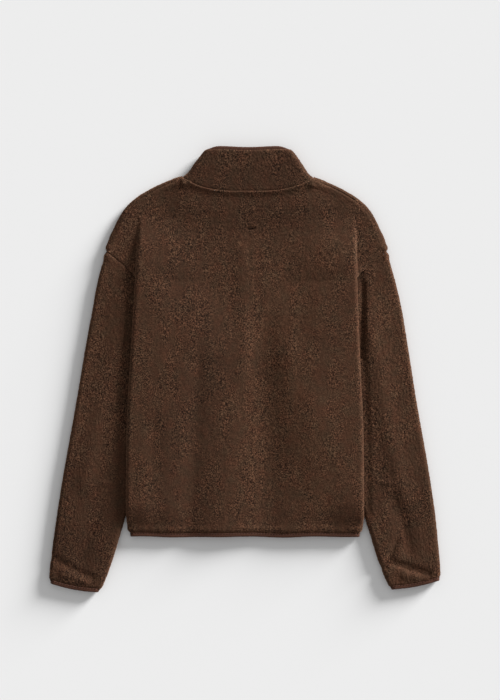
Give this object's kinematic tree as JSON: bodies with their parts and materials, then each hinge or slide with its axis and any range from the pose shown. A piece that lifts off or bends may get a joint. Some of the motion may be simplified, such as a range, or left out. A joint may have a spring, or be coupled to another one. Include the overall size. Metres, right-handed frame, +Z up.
{
  "type": "fleece jacket",
  "caption": "Deep-pile fleece jacket with a stand collar, dropped shoulders and bound edges, laid flat on its front with the back up.",
  "frame": {"origin": "middle of the footprint, on the floor", "axes": "+X across the jacket, towards the right of the laid back; +Y up the back towards the collar; +Z up, out of the back"},
  "size_m": [0.6476, 0.7373, 0.0259],
  "materials": {
    "cocoa_fleece": "matte",
    "brown_binding": "satin",
    "zip_tape_cloth": "matte",
    "zip_teeth_resin": "satin",
    "zip_slider_metal": "satin"
  },
  "bodies": {
    "jacket": {"back": "cocoa_fleece", "front_left": "cocoa_fleece", "front_right": "cocoa_fleece", "sleeve_left": "cocoa_fleece", "sleeve_right": "cocoa_fleece", "collar": "cocoa_fleece", "collar_binding": "brown_binding", "hem_binding": "brown_binding", "cuff_binding_left": "brown_binding", "cuff_binding_right": "brown_binding", "zip_tape_left": "zip_tape_cloth", "zip_tape_right": "zip_tape_cloth", "zip_teeth": "zip_teeth_resin", "zip_box": "zip_teeth_resin", "zip_slider": "zip_slider_metal"},
    "pull": {"zip_pull": "zip_slider_metal"}
  },
  "joints": [
    {"name": "pull_swing", "type": "hinge", "parent": "jacket", "child": "pull", "pos_m": [0.00495, 0.323, 0.0028], "axis": [1, 0, 0], "range_deg": [0, 170]}
  ]
}
